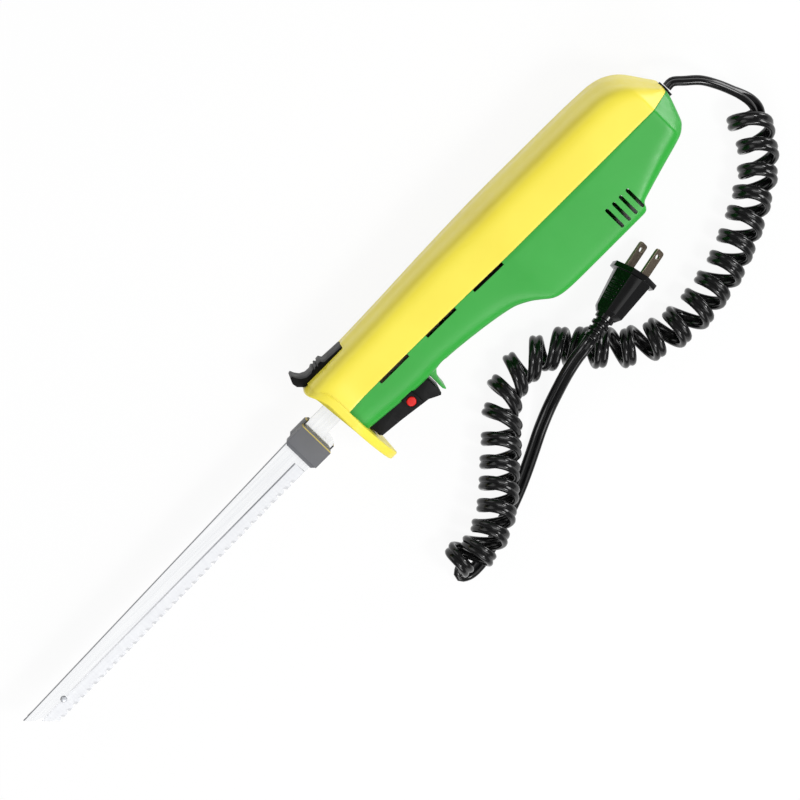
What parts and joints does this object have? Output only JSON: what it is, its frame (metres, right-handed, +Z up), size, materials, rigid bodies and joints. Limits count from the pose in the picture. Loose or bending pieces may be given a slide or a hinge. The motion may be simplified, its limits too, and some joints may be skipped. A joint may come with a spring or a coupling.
{
  "type": "electric fillet knife",
  "caption": "Corded electric fillet knife: two scalloped blades side by side that a motor slides to and fro, a two-colour moulded handle with guard, trigger and lock, and a curly cord with a plug",
  "frame": {"origin": "on the surface that the knife lies on, under the middle of the knife without its cord", "axes": "+X towards the rear end and the cord, so the blade points to -X; +Y towards the top of the handle; +Z up, towards the knife's left side, because the knife lies on its right side"},
  "size_m": [0.5094, 0.1565, 0.052],
  "materials": {
    "yellow_shell": "smooth moulded yellow, satin gloss",
    "green_shell": "smooth moulded green, satin gloss",
    "black_plastic": "fine grain black",
    "grey_plastic": "moulded dark grey",
    "red_plastic": "smooth red",
    "blade_steel": "bright ground stainless steel",
    "steel": "plain zinc plate",
    "nylon": "natural nylon",
    "copper": "enamelled copper",
    "brass": "bright brass",
    "carbon": "carbon graphite",
    "laminated_iron": "stacked laminations",
    "cord_vinyl": "glossy black vinyl",
    "plug_metal": "dull nickel plated brass"
  },
  "bodies": {
    "housing": {"upper_housing": "yellow_shell", "lower_housing": "green_shell", "housing_screw_1": "steel", "housing_screw_2": "steel", "housing_screw_3": "steel", "housing_screw_4": "steel", "front_bearing": "brass", "middle_bearing": "brass", "rear_bearing": "brass", "gear_axle": "steel", "gear_frame": "grey_plastic", "arm_guide": "nylon", "stator_core": "laminated_iron", "upper_field_coil": "copper", "lower_field_coil": "copper", "rear_bracket": "steel", "left_brush_holder": "brass", "left_brush": "carbon", "right_brush_holder": "brass", "right_brush": "carbon", "trigger_pin": "steel", "switch_block": "black_plastic", "switch_leaf": "brass", "release_spring": "steel", "cord_grommet": "black_plastic", "inner_cord": "cord_vinyl", "cord_clamp": "nylon", "clamp_screw_1": "steel", "clamp_screw_2": "steel", "switch_wire": "cord_vinyl", "motor_wire": "cord_vinyl", "brush_wire": "cord_vinyl", "cord_lead": "cord_vinyl", "curly_cord": "cord_vinyl", "cord_tail": "cord_vinyl", "plug_body": "cord_vinyl", "plug_blade_left": "plug_metal", "plug_blade_right": "plug_metal"},
    "left_drive": {"left_blade": "blade_steel", "left_blade_collar": "grey_plastic", "left_drive_arm": "nylon", "blade_rivet": "steel"},
    "right_drive": {"right_blade": "blade_steel", "right_blade_collar": "grey_plastic", "right_drive_arm": "nylon"},
    "armature": {"armature_shaft": "steel", "armature_core": "laminated_iron", "armature_winding": "copper", "commutator": "copper", "cooling_fan": "nylon"},
    "gear": {"worm_gear": "nylon"},
    "trigger": {"trigger": "black_plastic"},
    "trigger_lock": {"trigger_lock_button": "red_plastic"},
    "release": {"release_slider": "black_plastic"}
  },
  "joints": [
    {"name": "left_stroke", "type": "slide", "parent": "housing", "child": "left_drive", "axis": [1, 0, 0], "range_m": [-0.0024, 0.0056]},
    {"name": "right_stroke", "type": "slide", "parent": "housing", "child": "right_drive", "axis": [1, 0, 0], "range_m": [-0.0056, 0.0024]},
    {"name": "armature_spin", "type": "hinge", "parent": "housing", "child": "armature", "pos_m": [0.09745, -0.0101, 0.026], "axis": [1, 0, 0], "continuous": true},
    {"name": "gear_spin", "type": "hinge", "parent": "housing", "child": "gear", "pos_m": [0.09745, 0.0049, 0.026], "axis": [0, 0, 1], "continuous": true},
    {"name": "trigger_pull", "type": "hinge", "parent": "housing", "child": "trigger", "pos_m": [0.00645, -0.01, 0.026], "axis": [0, 0, 1], "range_deg": [0, 5], "stiffness_Nm_per_rad": 0.8, "springref_deg": -5.73, "deforming": ["switch_leaf"]},
    {"name": "lock_press", "type": "slide", "parent": "trigger", "child": "trigger_lock", "axis": [0, 0, -1], "range_m": [0, 0.003], "stiffness_N_per_m": 600, "springref_m": -0.003},
    {"name": "release_push", "type": "slide", "parent": "housing", "child": "release", "axis": [-1, 0, 0], "range_m": [0, 0.005], "stiffness_N_per_m": 500, "springref_m": -0.004, "deforming": ["release_spring"]}
  ],
  "couplings": [
    {"joint": "right_stroke", "follows": "left_stroke", "ratio": -1},
    {"joint": "gear_spin", "follows": "armature_spin", "ratio": -0.045455}
  ]
}
